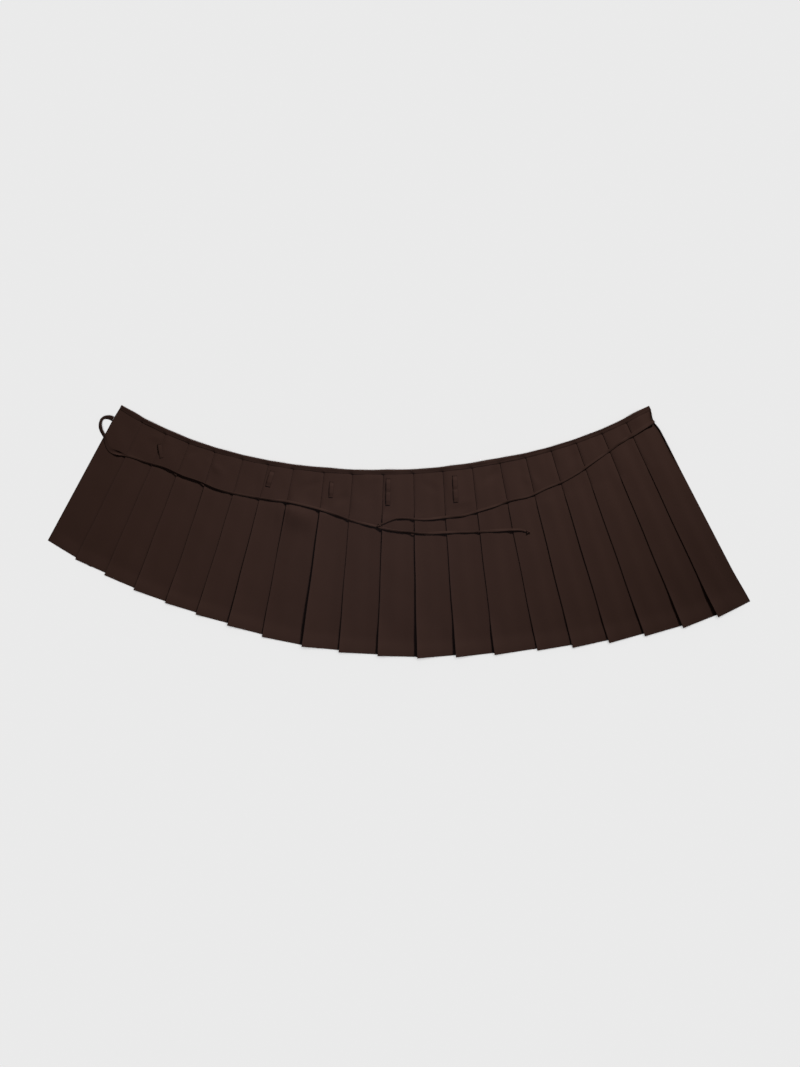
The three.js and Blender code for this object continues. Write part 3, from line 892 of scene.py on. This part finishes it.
class Finish:
    def __init__(self, name):
        self.material = bpy.data.materials.new(name)
        self.material.use_nodes = True
        self.tree = self.material.node_tree
        self.tree.nodes.clear()

    def node(self, kind, settings=None, sockets=None, out=0):
        made = self.tree.nodes.new(kind)
        for name, value in (settings or {}).items():
            setattr(made, name, value)
        for key, value in (sockets or {}).items():
            if isinstance(value, Link):
                self.tree.links.new(value.socket, made.inputs[key])
            else:
                made.inputs[key].default_value = value
        return Link(self, made.outputs[out]) if made.outputs else made

    def mix(self, mask, first, second):
        return self.node("ShaderNodeMix", {"data_type": "RGBA"}, {0: mask, 6: first, 7: second}, 2)

    def done(self, sockets):
        shader = self.node("ShaderNodeBsdfPrincipled", sockets=sockets)
        self.node("ShaderNodeOutputMaterial", sockets={"Surface": shader})
        return self.material


suiting = {
    "dark": (0.0268, 0.0122, 0.0084, 1), "light": (0.0352, 0.0167, 0.0122, 1),
    # a painted highlight colour for the fold tops, then a painted shade colour for creases, side edges and
    # loop edges, each mixed in by the first two numbers below
    "pressed": (0.046, 0.024, 0.0195, 1), "shade": (0.009, 0.0032, 0.0022, 1),
    "highlightStrength": 0.2, "shading": 0.25, "twill": 0.0008, "twillLean": (0.9, 0.45),
    "patchScale": 14.0, "fibreScale": 1500.0, "patchy": 0.6, "fibrous": 0.5, "ribbed": 0.08,
    "rough": 0.8, "roughSpread": 0.12, "raise": 0.00006, "raiseStrength": 0.35, "gloss": 0.08,
    "ribHeight": 0.5, "fibreHeight": 0.8,
    "sheen": 0.015, "sheenRough": 0.5, "sheenTint": (0.8, 0.6, 0.5, 1),
}


def clothFinish(name, lighter=1.0, withPaintedLight=False, twill=None):
    made = Finish(name)
    threads = made.node("ShaderNodeUVMap", {"uv_map": "threads"})
    across = made.node("ShaderNodeSeparateXYZ", sockets={0: threads})
    lengthwise = made.node("ShaderNodeSeparateXYZ", sockets={0: threads}, out=1)
    turns = 2 * math.pi / (twill or suiting["twill"])
    acrossTurns, lengthTurns = (lean * turns for lean in suiting["twillLean"])
    rib = across * acrossTurns + lengthwise * lengthTurns
    ridge = made.node("ShaderNodeMath", {"operation": "SINE"}, {0: rib})
    place = made.node("ShaderNodeTexCoord", out=3)
    fibre, patch = (
        made.node("ShaderNodeTexNoise", sockets={"Vector": place, "Scale": suiting[key], "Detail": detail})
        for key, detail in (("fibreScale", 2.0), ("patchScale", 3.0))
    )
    shade = (patch - 0.5) * suiting["patchy"] + (fibre - 0.5) * suiting["fibrous"]
    shade = shade + ridge * suiting["ribbed"] + 0.5
    dark, light = (tuple(c * lighter for c in suiting[key][:3]) + (1,) for key in ("dark", "light"))
    colour = made.mix(shade, dark, light)
    # painted highlight along the fold tops and painted shade in the creases and at the edges, read from the
    # vertex marks
    if withPaintedLight:
        highlit = made.node("ShaderNodeAttribute", {"attribute_name": "pressed"}, out=2)
        shadeShare = made.node("ShaderNodeAttribute", {"attribute_name": "tucked"}, out=2)
        colour = made.mix(highlit * suiting["highlightStrength"], colour, suiting["pressed"])
        colour = made.mix(shadeShare * suiting["shading"], colour, suiting["shade"])
    rough = (fibre - 0.5) * suiting["roughSpread"] + suiting["rough"]
    height = ridge * suiting["ribHeight"] + fibre * suiting["fibreHeight"]
    bump = made.node("ShaderNodeBump", sockets={
        "Strength": suiting["raiseStrength"], "Distance": suiting["raise"], "Height": height,
    })
    return made.done({
        "Base Color": colour, "Roughness": rough, "Normal": bump, "Specular IOR Level": suiting["gloss"],
        "Sheen Weight": suiting["sheen"], "Sheen Roughness": suiting["sheenRough"],
        "Sheen Tint": suiting["sheenTint"],
    })


finishes = {  # the first of these words in a piece's name gives its finish
    "pleated_cloth": clothFinish("suitingTwill", withPaintedLight=True),
    "waist_tape": clothFinish("bindingTwill"),
    "tie": clothFinish("tieTape", 0.95, twill=0.0006),
    "loop": clothFinish("loopTwill", 1.03, withPaintedLight=True),
    "stitches": clothFinish("sewingThread", 0.6, twill=0.0003),
}
for piece in skirtPieces.objects:
    word = next(word for word in finishes if word in piece.name)
    piece.data.materials.append(finishes[word])
print("finishes made")

studio = {  # angles in degrees, places in metres
    "floor": (0.80, 0.80, 0.80, 1), "floorHalf": 30.0, "floorRough": 0.9, "floorGloss": 0.1,
    "floorLight": 2.86, "floorSoft": 60, "floorLightUp": 4, "fill": 0.12, "backdrop": 0.823,
    "keyFrom": 60, "keyUp": 38, "keyFar": 5.5, "keyPower": 2500.0, "keySoft": 0.5,
    "keyAim": (0.18, 0.72, 0.0), "keyCone": 25.2,
    "sheenPower": 540.0, "sheenFrom": (-0.06, 0.1, 3.6), "sheenAim": (-0.03, -0.02, 0.0),
    "sheenCone": 12.4, "sheenSoft": 0.3, "sheenColour": (1.0, 0.86, 1.0),
}

floorMesh = bpy.data.meshes.new("floor")
half = studio["floorHalf"]
floorCorners = [(-half, -half, 0), (half, -half, 0), (half, half, 0), (-half, half, 0)]
floorMesh.from_pydata(floorCorners, [], [(0, 1, 2, 3)])
floor = bpy.data.objects.new("floor", floorMesh)
studioPieces.objects.link(floor)
floorMesh.materials.append(Finish("floor").done({
    "Base Color": studio["floor"], "Roughness": studio["floorRough"],
    "Specular IOR Level": studio["floorGloss"],
}))


def addLight(name, kind, energy, place, aim, receivers, **settings):
    data = bpy.data.lights.new(name, kind)
    data.energy = energy
    for key, value in settings.items():
        setattr(data, key, value)
    lamp = bpy.data.objects.new(name, data)
    lamp.location = place
    lamp.rotation_euler = (Vector(aim) - Vector(place)).to_track_quat("-Z", "Y").to_euler()
    scene.collection.objects.link(lamp)
    lamp.light_linking.receiver_collection = receivers
    return lamp


around, up = math.radians(studio["keyFrom"]), math.radians(studio["keyUp"])
aim, out = studio["keyAim"], studio["keyFar"] * math.cos(up)
keyPlace = (aim[0] + out * math.cos(around), aim[1] + out * math.sin(around), studio["keyFar"] * math.sin(up))
addLight(
    "keyLight", "SPOT", studio["keyPower"], keyPlace, aim, skirtPieces,
    spot_size=math.radians(studio["keyCone"]), spot_blend=1.0, shadow_soft_size=studio["keySoft"],
)
sheen = addLight(  # shows only as the soft gloss of the cloth
    "sheenLight", "SPOT", studio["sheenPower"], studio["sheenFrom"], studio["sheenAim"], skirtPieces,
    spot_size=math.radians(studio["sheenCone"]), spot_blend=1.0, shadow_soft_size=studio["sheenSoft"],
    color=studio["sheenColour"],
)
sheen.visible_diffuse = False
addLight(
    "floorLight", "SUN", studio["floorLight"], (0, 0, studio["floorLightUp"]), (0, 0, 0), studioPieces,
    angle=math.radians(studio["floorSoft"]),
)

world = bpy.data.worlds.new("studio")
scene.world = world
world.use_nodes = True
nodes, links = world.node_tree.nodes, world.node_tree.links
background = nodes["Background"]
background.inputs["Color"].default_value = (1, 1, 1, 1)
background.inputs["Strength"].default_value = studio["fill"]
backdrop = nodes.new("ShaderNodeBackground")
backdrop.inputs["Color"].default_value = (studio["backdrop"],) * 3 + (1,)
pick, path = nodes.new("ShaderNodeMixShader"), nodes.new("ShaderNodeLightPath")
links.new(path.outputs["Is Camera Ray"], pick.inputs[0])
links.new(background.outputs[0], pick.inputs[1])
links.new(backdrop.outputs[0], pick.inputs[2])
links.new(pick.outputs[0], nodes["World Output"].inputs["Surface"])
scene.view_settings.view_transform = "Standard"
print("studio lit")
